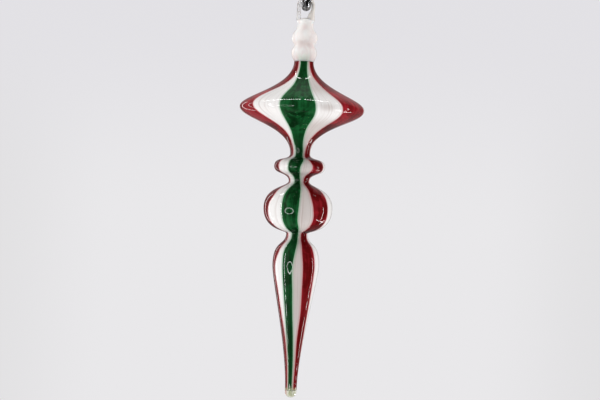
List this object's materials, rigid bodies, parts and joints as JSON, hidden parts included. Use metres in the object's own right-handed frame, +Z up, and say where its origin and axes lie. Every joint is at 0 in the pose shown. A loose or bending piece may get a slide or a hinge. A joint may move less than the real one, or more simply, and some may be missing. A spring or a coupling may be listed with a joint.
{
  "type": "glass finial ornament",
  "caption": "Hand-blown striped glass finial ornament with a disc, a ball and a long drop, hanging by a glass eye from a round steel S-hook.",
  "frame": {"origin": "the point inside the hook's upper bend where the whole thing hangs", "axes": "+Z up along the ornament's own axis; the front, which has a green stripe, faces -Y, and the hook lies in the YZ plane"},
  "size_m": [0.0752, 0.0752, 0.2809],
  "materials": {
    "polished_steel": "dark polished",
    "clear_glass": "clear gloss",
    "opal_glass": "milky gloss",
    "green_glass": "dark green gloss",
    "red_glass": "deep red gloss",
    "white_glass": "white gloss with fine lengthwise streaks",
    "tip_glass": "pale green-white gloss"
  },
  "bodies": {
    "hook": {"steel_hook": "polished_steel"},
    "ornament": {"glass_eye": "clear_glass", "opal_stem": "opal_glass", "inner_bubble": "clear_glass", "green_stripe_1": "green_glass", "green_stripe_2": "green_glass", "green_stripe_3": "green_glass", "red_stripe_1": "red_glass", "red_stripe_2": "red_glass", "red_stripe_3": "red_glass", "white_stripe_1": "white_glass", "white_stripe_2": "white_glass", "white_stripe_3": "white_glass", "white_stripe_4": "white_glass", "white_stripe_5": "white_glass", "white_stripe_6": "white_glass", "glass_tip": "tip_glass"}
  },
  "joints": [
    {"name": "eye_swing", "type": "hinge", "parent": "hook", "child": "ornament", "pos_m": [0, 0, -0.04], "axis": [0, 1, 0], "range_deg": [-90, 90]}
  ]
}
